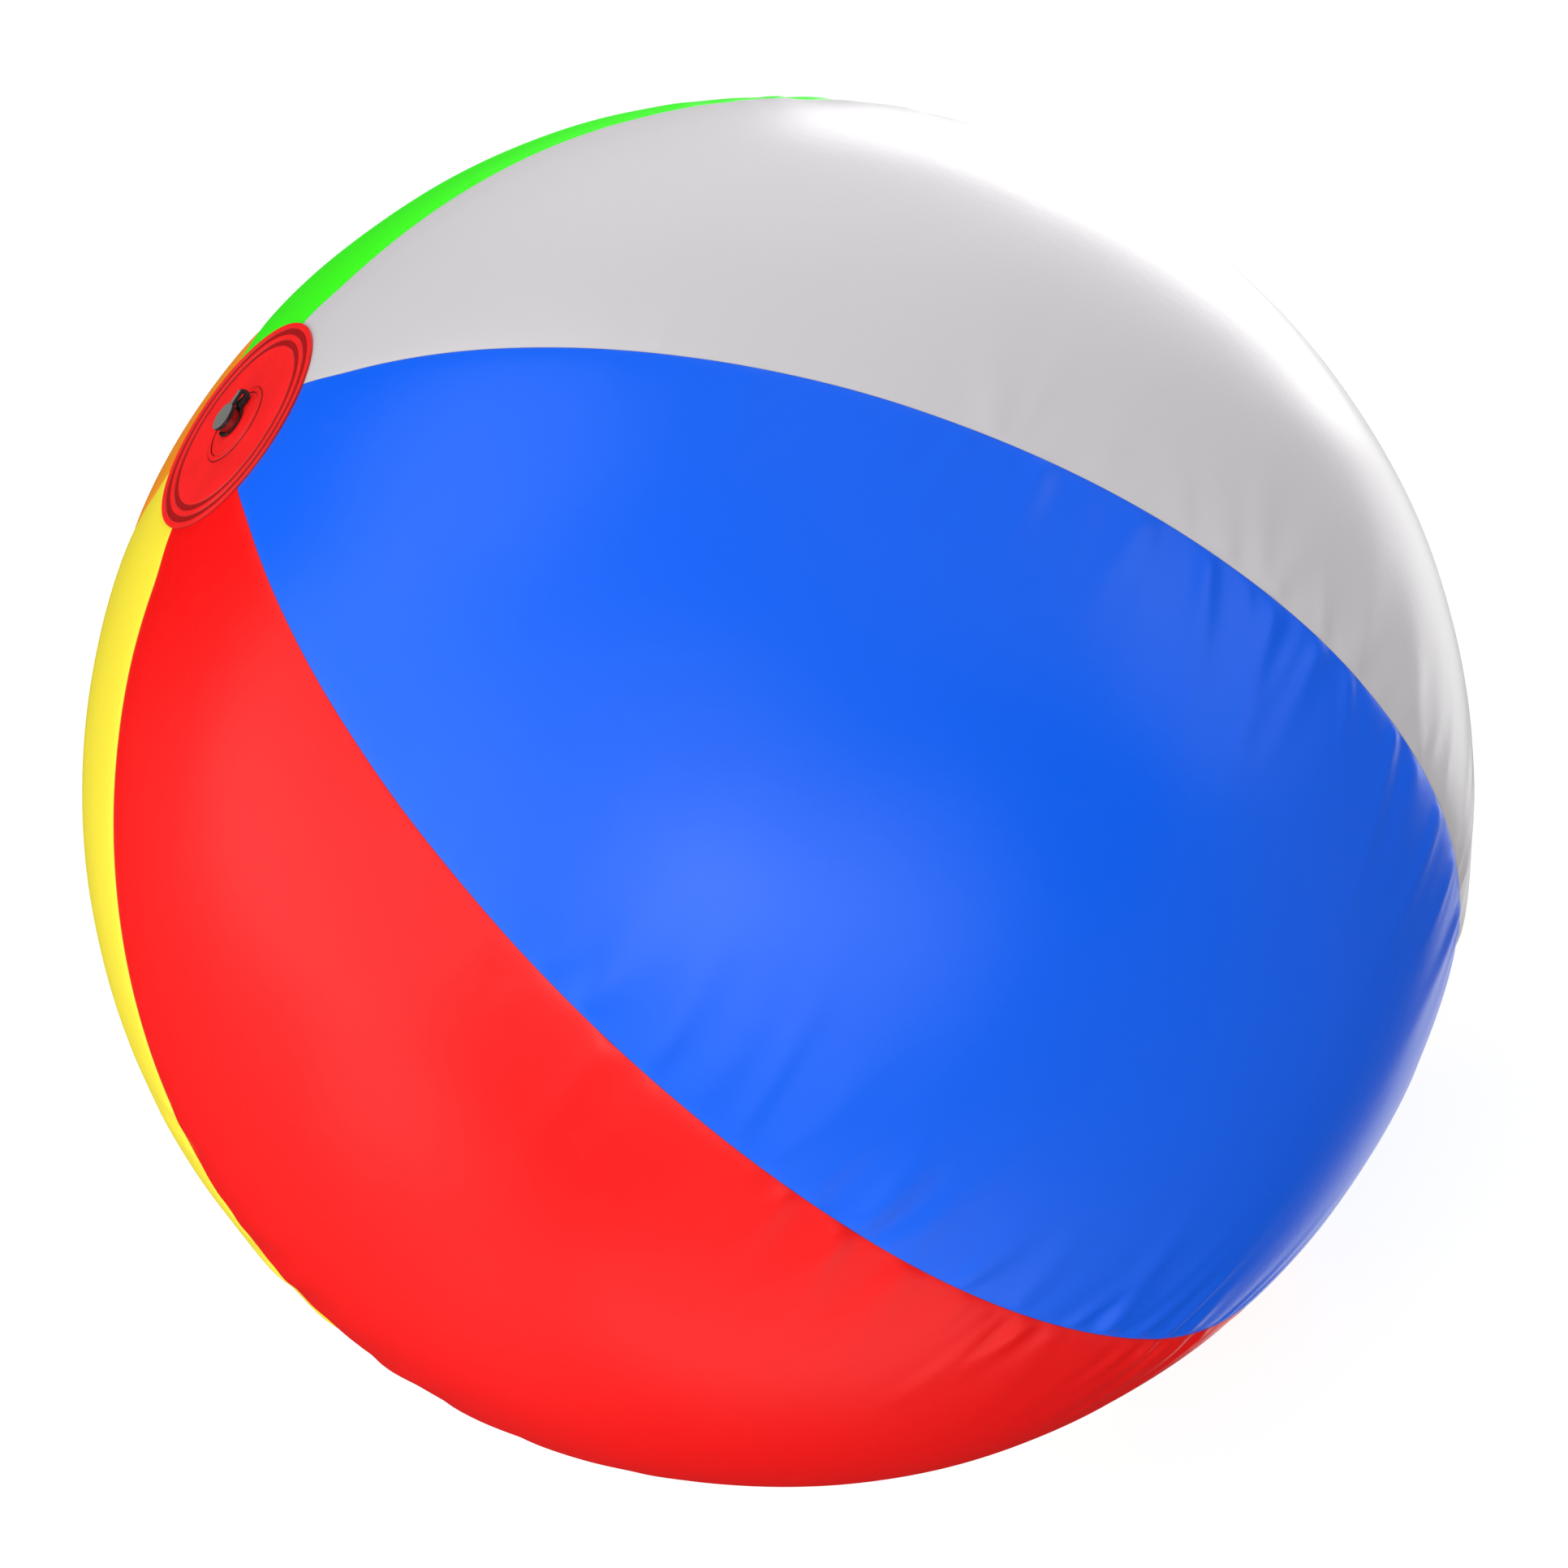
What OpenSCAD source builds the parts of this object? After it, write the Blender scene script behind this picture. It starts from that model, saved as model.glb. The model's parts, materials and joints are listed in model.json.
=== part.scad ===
// Inflatable beach ball: six welded film panels, two end discs and a push-in valve
// with a tethered stopper and a non-return flap. Millimetres, +Z out through the valve,
// origin at the middle of the ball.

/* [Ball] */
// Inflated diameter of the ball
ball_d = 510; // [400:10:600]
// Thickness of the panel film as modelled
film_t = 0.8; // [0.6:0.1:1.2]
// How far the welded edge of a panel turns into the ball
seam_fin_depth = 4; // [2:0.5:8]

/* [End discs] */
// Diameter of the two end discs
disc_d = 85; // [80:1:100]
// Thickness of an end disc
disc_t = 0.9; // [0.8:0.1:1.5]
// Inner and outer radius of the outer weld groove
outer_groove = [37.4, 40.2];
// Inner and outer radius of the inner weld groove
inner_groove = [32.7, 35.4];
// Depth of both weld grooves
groove_depth = 0.5; // [0.2:0.1:0.6]

/* [Valve body] */
// Outer radius of the flange lip on top of the disc
flange_lip_r = 15.3; // [14.8:0.1:18]
// Height of the flange lip above the disc
flange_lip_h = 0.6; // [0.4:0.1:1.5]
// Outer radius of the flange where it is welded under the disc
flange_weld_r = 22; // [18:0.5:28]
// Radius of the well that the valve is pressed into
well_r = 13.4; // [13.2:0.1:14]
// Outer radius of the stem
stem_r = 4.65; // [4.4:0.05:4.65]
// Radius of the air passage through the stem
passage_r = 3.25; // [3.2:0.05:3.4]
// Length of the stem from its mouth to its inner end
stem_length = 17.6; // [15:0.1:25]
// Height of the mouth of the stem above the disc
mouth_h = 4.3; // [4.3:0.1:6]
// How far the stem is pressed in for play
push_travel = 4.8; // [3:0.1:4.8]

/* [Stopper] */
// Radius of the stopper cap
cap_r = 5.6; // [5.2:0.1:6]
// Thickness of the stopper cap
cap_t = 1.45; // [1.2:0.05:2]
// Length of the plug below the cap
plug_length = 5; // [4:0.1:5]
// Radial clearance of the plug in the air passage
plug_clearance = 0.1; // [0.1:0.01:0.15]
// Width of the tether strap
strap_w = 2.6; // [2:0.2:5]
// Thickness of the tether strap
strap_t = 1.2; // [0.8:0.1:1.3]
// Distance of the strap's bend from the middle of the stem
bend_x = 10.1; // [9.9:0.1:10.2]

/* [Non-return valve] */
// Radius of the air hole through the insert
insert_hole_r = 2.3; // [2:0.1:2.5]
// Radius of the flap
flap_r = 3.4; // [3.1:0.1:3.6]
// Thickness of the flap
flap_t = 0.6; // [0.4:0.1:0.6]

/* [Hidden] */
$fn = 180;

// A sliver by which a cutting shape passes the surface it cuts
past = 1;
ball_r = ball_d / 2;
panel_count = 6;
panel_angle = 360 / panel_count;
disc_r = disc_d / 2;

// The flat ends: the underside of a disc lies where the ball is just wider than the disc
disc_under_z = sqrt(ball_r * ball_r - disc_r * disc_r) - 0.05;
disc_top_z = disc_under_z + disc_t;

// The welded margin of the panels under a disc, and where the seam fins stop short of it
margin_inner_r = 31;
margin_outer_r = disc_r + 6;
fin_stop_r = disc_r + 18;

// Heights through the valve
flange_top_z = disc_top_z + flange_lip_h;
flange_weld_t = 0.8;
flange_neck_r = well_r + 0.8;
mouth_z = disc_top_z + mouth_h;
stem_end_z = mouth_z - stem_length;

// The diaphragm is a shallow cone from the wall of the well up to the stem
diaphragm_t = 0.6;
diaphragm_edge_z = disc_top_z + 0.3;
diaphragm_rise = 1;
diaphragm_hole_r = stem_r + 0.05;
diaphragm_hub_r = stem_r + 0.9;

// The stopper, with its underside resting on the mouth of the stem
cap_gap = 0.05;
cap_z = mouth_z + cap_gap;
cap_top_z = cap_z + cap_t;
cap_tab_x = 6.5;
plug_straight = 2;
plug_tip_r = 2.5;
plug_nose_h = 0.6;
plug_nose_r = 1.7;

// The collar turns on the stem just above the diaphragm
collar_clearance = 0.1;
collar_r = 6.3;
collar_t = 1.1;
collar_z = diaphragm_edge_z + diaphragm_rise + 0.25;
collar_tab_x = 7.2;

// The strap: an upper leg, a round bend and a lower leg
strap_top_z = cap_z + (cap_t + strap_t) / 2;
strap_bottom_z = collar_z + (collar_t - strap_t) / 2;
bend_outer_r = (strap_top_z - strap_bottom_z) / 2;
bend_inner_r = bend_outer_r - strap_t;
bend_z = (strap_top_z + strap_bottom_z) / 2;

// The insert pressed into the inner end of the stem, and the flap that hangs under it
insert_sleeve_h = 3;
insert_flange_t = 0.8;
insert_under_z = stem_end_z - insert_flange_t;
flap_gap = 0.05;
flap_hinge_r = 0.35;
flap_hinge_x = -4.2;
flap_hinge_w = 4;
flap_hinge_z = insert_under_z - flap_gap - flap_hinge_r;
flap_top_z = insert_under_z - flap_gap;

// Colours of the film and of the moulded parts
red_vinyl = [0.93, 0.05, 0.06];
stopper_grey = [0.35, 0.35, 0.34];
milky = [0.85, 0.87, 0.88];

// The space of one panel: a wedge about +X with its edges at half a panel each way
module panel_wedge() {
    reach = 2 * ball_r;
    half = panel_angle / 2;
    translate([0, 0, -ball_r - past])
        linear_extrude(2 * (ball_r + past))
            polygon([
                [0, 0],
                [reach * cos(half), -reach * sin(half)],
                [reach * cos(half), reach * sin(half)]
            ]);
}

// The film of the whole ball, cut flat where the end discs lie on it
module film_shell() {
    intersection() {
        difference() {
            sphere(ball_r);
            sphere(ball_r - film_t);
        }
        translate([-ball_r - past, -ball_r - past, -disc_under_z])
            cube([2 * (ball_r + past), 2 * (ball_r + past), 2 * disc_under_z]);
    }
}

// The flat margin that the disc is welded to; up is 1 at the valve end and -1 at the plain end
module weld_margin(up) {
    low_z = up > 0 ? disc_under_z - film_t : -disc_under_z;
    intersection() {
        translate([0, 0, low_z])
            difference() {
                cylinder(h = film_t, r = margin_outer_r);
                translate([0, 0, -past])
                    cylinder(h = film_t + 2 * past, r = margin_inner_r);
            }
        sphere(ball_r);
    }
}

// The welded edge that turns inwards along one seam; side is 1 or -1
module seam_fin(side) {
    fin_outer_r = ball_r - film_t / 2;
    fin_inner_r = ball_r - film_t - seam_fin_depth;
    rotate([0, 0, side * panel_angle / 2])
        difference() {
            translate([0, side > 0 ? 0 : film_t, 0])
                rotate([90, 0, 0])
                    linear_extrude(film_t)
                        difference() {
                            circle(fin_outer_r);
                            circle(fin_inner_r);
                            translate([-2 * ball_r, -2 * ball_r])
                                square([2 * ball_r + fin_stop_r, 4 * ball_r]);
                        }
        }
}

// One gore of the ball, with its welded edges and margins, centred on an angle about Z
module panel(centre_angle, paint) {
    color(paint)
        rotate([0, 0, centre_angle]) {
            intersection() {
                union() {
                    film_shell();
                    weld_margin(1);
                    weld_margin(-1);
                }
                panel_wedge();
            }
            seam_fin(1);
            seam_fin(-1);
        }
}

module panel_blue() {
    panel(-90, [0.0, 0.36, 0.92]);
}

module panel_white() {
    panel(-30, [0.93, 0.93, 0.94]);
}

module panel_green() {
    panel(30, [0.22, 0.95, 0.14]);
}

module panel_orange() {
    panel(90, [1.0, 0.6, 0.1]);
}

module panel_yellow() {
    panel(150, [1.0, 0.92, 0.22]);
}

module panel_red() {
    panel(210, [1.0, 0.08, 0.08]);
}

// An end disc with its two weld grooves, as a profile turned about Z
module end_disc(hole_r) {
    floor_z = disc_top_z - groove_depth;
    rotate_extrude()
        polygon([
            [hole_r, disc_under_z],
            [disc_r, disc_under_z],
            [disc_r, disc_top_z],
            [outer_groove[1], disc_top_z],
            [outer_groove[1], floor_z],
            [outer_groove[0], floor_z],
            [outer_groove[0], disc_top_z],
            [inner_groove[1], disc_top_z],
            [inner_groove[1], floor_z],
            [inner_groove[0], floor_z],
            [inner_groove[0], disc_top_z],
            [hole_r, disc_top_z]
        ]);
}

module valve_end_disc() {
    color(red_vinyl) end_disc(flange_neck_r);
}

module plain_end_disc() {
    color(red_vinyl)
        rotate([180, 0, 0])
            end_disc(0);
}

// The moulded flange: a lip over the disc, a neck through it and a wide welded skirt under it
module valve_flange() {
    color(red_vinyl)
        rotate_extrude()
            polygon([
                [well_r, disc_under_z - flange_weld_t],
                [flange_weld_r, disc_under_z - flange_weld_t],
                [flange_weld_r, disc_under_z],
                [flange_neck_r, disc_under_z],
                [flange_neck_r, disc_top_z],
                [flange_lip_r, disc_top_z],
                [flange_lip_r - flange_lip_h / 2, flange_top_z],
                [well_r, flange_top_z]
            ]);
}

// The thin cone that lets the stem be pressed into the ball
module valve_diaphragm() {
    hub_z = diaphragm_edge_z + diaphragm_rise;
    color(red_vinyl)
        rotate_extrude()
            polygon([
                [diaphragm_hole_r, hub_z - diaphragm_t],
                [diaphragm_hub_r, hub_z - diaphragm_t],
                [well_r, diaphragm_edge_z - diaphragm_t],
                [well_r, diaphragm_edge_z],
                [diaphragm_hub_r, hub_z],
                [diaphragm_hole_r, hub_z]
            ]);
}

module valve_stem() {
    color(red_vinyl)
        translate([0, 0, stem_end_z])
            difference() {
                cylinder(h = stem_length, r = stem_r);
                translate([0, 0, -past])
                    cylinder(h = stem_length + 2 * past, r = passage_r);
            }
}

// A sleeve in the stem with a flange under its end, which the flap closes against
module check_insert() {
    color(milky)
        difference() {
            union() {
                translate([0, 0, insert_under_z])
                    cylinder(h = insert_flange_t, r = stem_r);
                translate([0, 0, stem_end_z])
                    cylinder(h = insert_sleeve_h, r = passage_r);
            }
            translate([0, 0, insert_under_z - past])
                cylinder(h = insert_flange_t + insert_sleeve_h + 2 * past, r = insert_hole_r);
        }
}

// A thin disc with a tail that ends in a round hinge bead
module check_flap() {
    color(milky) {
        translate([0, 0, flap_top_z - flap_t])
            cylinder(h = flap_t, r = flap_r);
        translate([flap_hinge_x, -flap_hinge_w / 2, flap_top_z - flap_t])
            cube([-flap_hinge_x, flap_hinge_w, flap_t]);
        translate([flap_hinge_x, flap_hinge_w / 2, flap_hinge_z])
            rotate([90, 0, 0])
                cylinder(h = flap_hinge_w, r = flap_hinge_r);
    }
}

// The cap with its tab for the strap, and the tapered plug below it
module stopper() {
    plug_r = passage_r - plug_clearance;
    color(stopper_grey) {
        translate([0, 0, cap_z])
            cylinder(h = cap_t, r = cap_r);
        translate([0, -strap_w / 2, cap_z])
            cube([cap_tab_x, strap_w, cap_t]);
        rotate_extrude()
            polygon([
                [0, cap_z + cap_t / 2],
                [plug_r, cap_z + cap_t / 2],
                [plug_r, cap_z - plug_straight],
                [plug_tip_r, cap_z - plug_length + plug_nose_h],
                [plug_nose_r, cap_z - plug_length],
                [0, cap_z - plug_length]
            ]);
    }
}

// The strap as it lies with the stopper in: out along the cap, round, and back to the collar
module tether_strap() {
    color(stopper_grey)
        translate([0, strap_w / 2, 0])
            rotate([90, 0, 0])
                linear_extrude(strap_w) {
                    translate([cap_tab_x, strap_top_z - strap_t])
                        square([bend_x - cap_tab_x, strap_t]);
                    translate([collar_tab_x, strap_bottom_z])
                        square([bend_x - collar_tab_x, strap_t]);
                    translate([bend_x, bend_z])
                        difference() {
                            circle(bend_outer_r);
                            circle(bend_inner_r);
                            translate([-2 * bend_outer_r, -bend_outer_r - past])
                                square([2 * bend_outer_r, 2 * (bend_outer_r + past)]);
                        }
                }
}

module tether_collar() {
    color(stopper_grey)
        translate([0, 0, collar_z])
            difference() {
                union() {
                    cylinder(h = collar_t, r = collar_r);
                    translate([0, -strap_w / 2, 0])
                        cube([collar_tab_x, strap_w, collar_t]);
                }
                translate([0, 0, -past])
                    cylinder(h = collar_t + 2 * past, r = stem_r + collar_clearance);
            }
}

panel_blue();
panel_white();
panel_green();
panel_orange();
panel_yellow();
panel_red();
valve_end_disc();
plain_end_disc();
valve_flange();
valve_diaphragm();
valve_stem();
check_insert();
check_flap();
stopper();
tether_strap();
tether_collar();
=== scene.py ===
"""An inflated beach ball: six film panels, two end discs, and a push-in valve with a tethered stopper."""

import json
import logging
import math
import random
from dataclasses import dataclass, field
from enum import Enum
from typing import Callable, Iterable, Sequence

import bmesh
import bpy
import numpy as np
from mathutils import Matrix, Vector

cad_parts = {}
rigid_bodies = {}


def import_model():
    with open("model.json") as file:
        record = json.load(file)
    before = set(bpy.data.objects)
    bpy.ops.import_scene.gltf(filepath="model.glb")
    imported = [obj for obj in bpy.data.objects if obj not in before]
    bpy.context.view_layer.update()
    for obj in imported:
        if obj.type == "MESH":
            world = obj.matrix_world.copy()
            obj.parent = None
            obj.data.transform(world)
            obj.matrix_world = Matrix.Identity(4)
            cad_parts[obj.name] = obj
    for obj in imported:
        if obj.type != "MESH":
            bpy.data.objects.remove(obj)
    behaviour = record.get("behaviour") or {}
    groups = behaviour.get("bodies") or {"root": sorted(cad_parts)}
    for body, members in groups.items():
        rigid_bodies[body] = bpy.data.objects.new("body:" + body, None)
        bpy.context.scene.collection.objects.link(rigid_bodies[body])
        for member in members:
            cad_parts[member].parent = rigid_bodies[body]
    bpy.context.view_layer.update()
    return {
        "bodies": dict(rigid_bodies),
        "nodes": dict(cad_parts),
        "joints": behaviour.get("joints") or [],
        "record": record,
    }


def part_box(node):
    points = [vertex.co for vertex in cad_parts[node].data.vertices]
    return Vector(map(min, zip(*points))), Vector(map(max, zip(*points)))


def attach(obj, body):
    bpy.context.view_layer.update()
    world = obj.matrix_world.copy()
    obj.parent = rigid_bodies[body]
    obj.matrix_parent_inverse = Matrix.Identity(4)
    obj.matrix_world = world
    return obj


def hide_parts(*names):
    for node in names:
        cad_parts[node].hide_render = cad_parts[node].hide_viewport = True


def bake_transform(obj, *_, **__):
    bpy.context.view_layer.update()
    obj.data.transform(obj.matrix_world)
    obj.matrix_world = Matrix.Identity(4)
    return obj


log = logging.getLogger("beach_ball")

MM = 0.001
SHEEN = 0.28
PANELS = 6
SMOOTH_BELOW = 50
NECK_WALL = 0.8 * MM
OUTER_GROOVE = (37.4 * MM, 40.2 * MM)
INNER_GROOVE = (32.7 * MM, 35.4 * MM)
Point = tuple[float, float]
Colour = tuple[float, float, float]


# ---------------------------------------------------------------- numbers


def linear(red: int, green: int, blue: int) -> Colour:
    """Turn a display colour of 0 to 255 a channel into the linear colour that a shader takes.

    Args:
        red: Display red.
        green: Display green.
        blue: Display blue.

    Returns:
        The linear colour.
    """
    shares = (value / 255 for value in (red, green, blue))
    return tuple(s / 12.92 if s <= 0.04045 else ((s + 0.055) / 1.055) ** 2.4 for s in shares)


def ease(values: np.ndarray, low: float, high: float) -> np.ndarray:
    """Rise smoothly from 0 at low to 1 at high.

    Args:
        values: Where to take the curve.
        low: The value where the rise starts.
        high: The value where it ends.

    Returns:
        The curve at each value.
    """
    t = np.clip((values - low) / (high - low), 0.0, 1.0)
    return t * t * (3 - 2 * t)


def rounded(corners: Sequence[Point], radii: Sequence[float], steps: int = 5) -> list[Point]:
    """Round the inner corners of an open outline with arcs.

    Args:
        corners: The outline's corners in order.
        radii: How far back from each corner its arc starts; 0 keeps it sharp.
        steps: Straight pieces in each arc.

    Returns:
        The outline with each rounded corner replaced by points on a curve.
    """
    outline: list[Point] = []
    for index, (corner, radius) in enumerate(zip(corners, radii)):
        if radius <= 0 or index in (0, len(corners) - 1):
            outline.append(corner)
            continue
        here = Vector(corner)
        before, after = Vector(corners[index - 1]), Vector(corners[index + 1])
        start = here + (before - here).normalized() * min(radius, (before - here).length / 2)
        end = here + (after - here).normalized() * min(radius, (after - here).length / 2)
        for step in range(steps + 1):
            t = step / steps
            outline.append(tuple(start * (1 - t) ** 2 + here * 2 * t * (1 - t) + end * t * t))
    return outline


# ---------------------------------------------------------------- modelling by operators


def deselect_all() -> None:
    """Leave object mode's selection empty."""
    if bpy.context.mode != "OBJECT":
        bpy.ops.object.mode_set(mode="OBJECT")
    bpy.ops.object.select_all(action="DESELECT")


def pick(piece: bpy.types.Object) -> None:
    """Make one piece the only selected one, and the active one.

    Args:
        piece: The piece.
    """
    deselect_all()
    bpy.context.view_layer.objects.active = piece
    piece.select_set(True)


def edit(piece: bpy.types.Object) -> bmesh.types.BMesh:
    """Enter edit mode on one piece with nothing selected.

    Args:
        piece: The piece to edit.

    Returns:
        The edit mesh.
    """
    pick(piece)
    bpy.ops.object.mode_set(mode="EDIT")
    bpy.ops.mesh.select_all(action="DESELECT")
    return bmesh.from_edit_mesh(piece.data)


def edit_all(piece: bpy.types.Object) -> None:
    """Enter edit mode on one piece with everything selected.

    Args:
        piece: The piece to edit.
    """
    edit(piece)
    bpy.ops.mesh.select_all(action="SELECT")


def leave_edit() -> None:
    """Go back to object mode."""
    bpy.ops.object.mode_set(mode="OBJECT")


def select_edges(piece: bpy.types.Object, wanted: Callable[[Vector, Vector], bool]) -> None:
    """Select the boundary edges whose two ends pass a test, in edge mode.

    Args:
        piece: The piece in edit mode.
        wanted: Says of an edge's two end points whether to take it.
    """
    bpy.ops.mesh.select_mode(type="EDGE")
    bpy.ops.mesh.select_all(action="DESELECT")
    mesh = bmesh.from_edit_mesh(piece.data)
    for edge in mesh.edges:
        if len(edge.link_faces) < 2 and wanted(edge.verts[0].co, edge.verts[1].co):
            edge.select_set(True)
    bmesh.update_edit_mesh(piece.data)


def positions(piece: bpy.types.Object) -> np.ndarray:
    """Read a piece's vertices.

    Args:
        piece: The piece, in object mode.

    Returns:
        One row of x, y and z for each vertex.
    """
    flat = np.empty(len(piece.data.vertices) * 3)
    piece.data.vertices.foreach_get("co", flat)
    return flat.reshape(-1, 3)


def move_to(piece: bpy.types.Object, points: np.ndarray) -> None:
    """Set a piece's vertices.

    Args:
        piece: The piece, in object mode.
        points: One row of x, y and z for each vertex.
    """
    piece.data.vertices.foreach_set("co", np.ascontiguousarray(points).ravel())
    piece.data.update()


def name_piece(piece: bpy.types.Object, name: str) -> bpy.types.Object:
    """Name a piece and its mesh.

    Args:
        piece: The piece.
        name: Its name.

    Returns:
        The same piece.
    """
    piece.name = name
    piece.data.name = name
    return piece


def apply_modifier(piece: bpy.types.Object, kind: str, **settings: object) -> None:
    """Add one modifier and apply it.

    Args:
        piece: The piece.
        kind: The modifier's type.
        **settings: Its settings.
    """
    pick(piece)
    modifier = piece.modifiers.new(kind.title(), kind)
    for key, value in settings.items():
        setattr(modifier, key, value)
    bpy.ops.object.modifier_apply(modifier=modifier.name)


def smooth(piece: bpy.types.Object, degrees: float) -> None:
    """Shade a piece smooth where its faces meet at less than an angle.

    Args:
        piece: The piece.
        degrees: The angle.
    """
    pick(piece)
    bpy.ops.object.shade_smooth_by_angle(angle=math.radians(degrees))


def close_and_face_out(piece: bpy.types.Object, gap: float = 1e-6) -> None:
    """Merge doubled vertices and turn every face outwards.

    Args:
        piece: The piece.
        gap: Vertices closer than this become one.
    """
    edit_all(piece)
    bpy.ops.mesh.remove_doubles(threshold=gap)
    bpy.ops.mesh.normals_make_consistent(inside=False)
    leave_edit()


def turned(name: str, outline: Sequence[Point], steps: int, closed: bool = True) -> bpy.types.Object:
    """Turn an outline about the ball's axis, as a lathe does.

    Args:
        name: The new piece's name.
        outline: Points of radius and height, in metres, in order.
        steps: Flat stretches in one full turn.
        closed: Whether the outline's last point joins its first.

    Returns:
        The new piece, closed and facing outwards.
    """
    deselect_all()
    bpy.ops.mesh.primitive_circle_add(vertices=len(outline), radius=0.01, fill_type="NOTHING")
    piece = name_piece(bpy.context.object, name)
    move_to(piece, np.array([(radius, 0.0, height) for radius, height in outline]))
    if not closed:
        mesh = edit(piece)
        bpy.ops.mesh.select_mode(type="EDGE")
        mesh.verts.ensure_lookup_table()
        joint = mesh.edges.get((mesh.verts[0], mesh.verts[-1]))
        joint.select_set(True)
        bmesh.update_edit_mesh(piece.data)
        bpy.ops.mesh.delete(type="EDGE_FACE")
        leave_edit()
    edit_all(piece)
    bpy.ops.mesh.spin(steps=steps, angle=math.tau, center=(0, 0, 0), axis=(0, 0, 1))
    leave_edit()
    close_and_face_out(piece)
    return piece


# ---------------------------------------------------------------- shader graphs


class Value:
    """A socket that Python's operators can add to, scale and compare, each with a Math node."""

    def __init__(self, graph: "Graph", socket: bpy.types.NodeSocket) -> None:
        """Wrap a socket of a graph."""
        self.graph = graph
        self.socket = socket

    def __add__(self, other: "Value | float") -> "Value":
        """This plus other."""
        return self.graph.maths("ADD", self, other)

    __radd__ = __add__

    def __mul__(self, other: "Value | float") -> "Value":
        """This times other."""
        return self.graph.maths("MULTIPLY", self, other)

    __rmul__ = __mul__

    def __sub__(self, other: "Value | float") -> "Value":
        """This minus other."""
        return self.graph.maths("SUBTRACT", self, other)

    def __rsub__(self, other: "Value | float") -> "Value":
        """Other minus this."""
        return self.graph.maths("SUBTRACT", other, self)

    def __pow__(self, power: "Value | float") -> "Value":
        """This to a power."""
        return self.graph.maths("POWER", self, power)


class Graph:
    """One material's nodes."""

    def __init__(self, name: str) -> None:
        """Start a material with a Principled shader wired to its output."""
        self.material = bpy.data.materials.new(name)
        self.material.use_nodes = True
        self.tree = self.material.node_tree
        self.shader = self.tree.nodes["Principled BSDF"]

    def node(
        self,
        kind: str,
        settings: dict[str, object] | None = None,
        inputs: dict[str | int, object] | None = None,
        output: str | int = 0,
    ) -> Value:
        """Add a node.

        Args:
            kind: The node's type.
            settings: Its properties, set first. A ramp's stops are (place, brightness) pairs under "stops".
            inputs: A value or a link for each named or numbered socket.
            output: The output to hand back.

        Returns:
            That output, ready for an expression.
        """
        node = self.tree.nodes.new(kind)
        for key, value in (settings or {}).items():
            if key == "stops":
                self._set_stops(node.color_ramp, value)
            else:
                setattr(node, key, value)
        for key, value in (inputs or {}).items():
            self.feed(node.inputs[key], value)
        return Value(self, node.outputs[output])

    @staticmethod
    def _set_stops(ramp: bpy.types.ColorRamp, stops: Sequence[Point]) -> None:
        """Give a ramp its stops, each a place and a brightness."""
        while len(ramp.elements) > len(stops):
            ramp.elements.remove(ramp.elements[-1])
        while len(ramp.elements) < len(stops):
            ramp.elements.new(1.0)
        for element, (place, level) in zip(ramp.elements, stops):
            element.position = place
            element.color = (level, level, level, 1.0)

    def feed(self, socket: bpy.types.NodeSocket, value: object) -> None:
        """Link a value to a socket, or set the socket to a number or a colour.

        Args:
            socket: The socket to feed.
            value: A Value to link, or a constant.
        """
        if isinstance(value, Value):
            self.tree.links.new(value.socket, socket)
        elif socket.type == "RGBA" and len(value) == 3:
            socket.default_value = (*value, 1.0)
        else:
            socket.default_value = value

    def maths(self, operation: str, *terms: "Value | float") -> Value:
        """Add a Math node on two or three terms."""
        return self.node("ShaderNodeMath", {"operation": operation}, dict(enumerate(terms)))

    def place(self) -> Value:
        """The point's place in the object's own frame, in metres."""
        return self.node("ShaderNodeTexCoord", output="Object")

    def noise(self, place: Value, per_metre: float, detail: float, rough: float = 0.5) -> Value:
        """A smooth random pattern from 0 to 1.

        Args:
            place: Where to read it.
            per_metre: Its features to a metre.
            detail: How many finer layers it has.
            rough: How strong the finer layers are.

        Returns:
            The pattern.
        """
        inputs = {"Vector": place, "Scale": per_metre, "Detail": detail, "Roughness": rough}
        return self.node("ShaderNodeTexNoise", inputs=inputs, output="Fac")

    def between(self, value: Value, low: float, high: float, start: float, end: float) -> Value:
        """Carry value from low..high to start..end, smoothly and clamped."""
        inputs = {0: value, 1: low, 2: high, 3: start, 4: end}
        return self.node("ShaderNodeMapRange", {"interpolation_type": "SMOOTHSTEP"}, inputs)

    def mix(self, share: Value, first: "Value | Colour", second: "Value | Colour") -> Value:
        """Mix two colours, first at share 0 and second at share 1."""
        return self.node(
            "ShaderNodeMix", {"data_type": "RGBA"}, {0: share, 6: first, 7: second}, output=2
        )

    def dent(self, height: Value, strength: float, distance: float, normal: Value | None = None) -> Value:
        """A bump from a height pattern.

        Args:
            height: The pattern.
            strength: How much of it shows.
            distance: The height of a full step, in metres.
            normal: An earlier bump to add to.

        Returns:
            The bent normal.
        """
        inputs: dict[str | int, object] = {"Height": height, "Strength": strength, "Distance": distance}
        if normal is not None:
            inputs["Normal"] = normal
        return self.node("ShaderNodeBump", inputs=inputs)

    def height_of(self, vector: Value) -> Value:
        """A vector's part along the ball's axis."""
        return self.node("ShaderNodeSeparateXYZ", inputs={0: vector}, output=2)

    def axis_distance(self, place: Value) -> Value:
        """How far the point lies from the ball's axis, in metres."""
        parts = self.tree.nodes.new("ShaderNodeSeparateXYZ")
        self.feed(parts.inputs[0], place)
        x, y = Value(self, parts.outputs[0]), Value(self, parts.outputs[1])
        return (x * x + y * y) ** 0.5

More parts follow.
